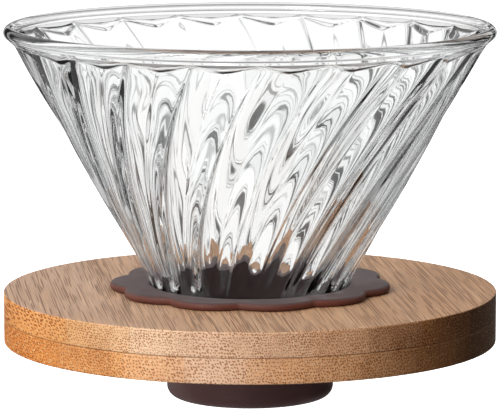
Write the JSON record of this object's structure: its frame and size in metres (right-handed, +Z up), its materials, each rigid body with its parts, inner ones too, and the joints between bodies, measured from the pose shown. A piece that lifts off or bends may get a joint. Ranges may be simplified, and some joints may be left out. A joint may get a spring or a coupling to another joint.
{
  "type": "pour over coffee dripper",
  "caption": "Pour-over coffee dripper: spiral-pleated clear glass cone in a scalloped silicone collar on a round two-ply bamboo base with a boss that drops into a mug or server.",
  "frame": {"origin": "centre of the boss ring's bottom face, on the axis of the cone", "axes": "+Z up along the cone's axis, out of the mouth of the glass; -Y towards the viewer in the usual front view; +X to the right"},
  "size_m": [0.12, 0.12, 0.0909],
  "materials": {
    "clear_glass": "polished, clear",
    "bamboo": "satin oiled",
    "brown_silicone": "matte"
  },
  "bodies": {
    "bamboo_base": {"bamboo_upper_ply": "bamboo", "bamboo_lower_ply": "bamboo"},
    "collar": {"silicone_collar": "brown_silicone"},
    "glass": {"glass_cone": "clear_glass"},
    "ring": {"boss_ring": "brown_silicone"}
  },
  "joints": [
    {"name": "collar_lift", "type": "slide", "parent": "bamboo_base", "child": "collar", "axis": [0, 0, 1], "range_m": [0, 0.03]},
    {"name": "glass_lift", "type": "slide", "parent": "collar", "child": "glass", "axis": [0, 0, 1], "range_m": [0, 0.03]},
    {"name": "ring_pull", "type": "slide", "parent": "bamboo_base", "child": "ring", "axis": [0, 0, -1], "range_m": [0, 0.02]}
  ]
}
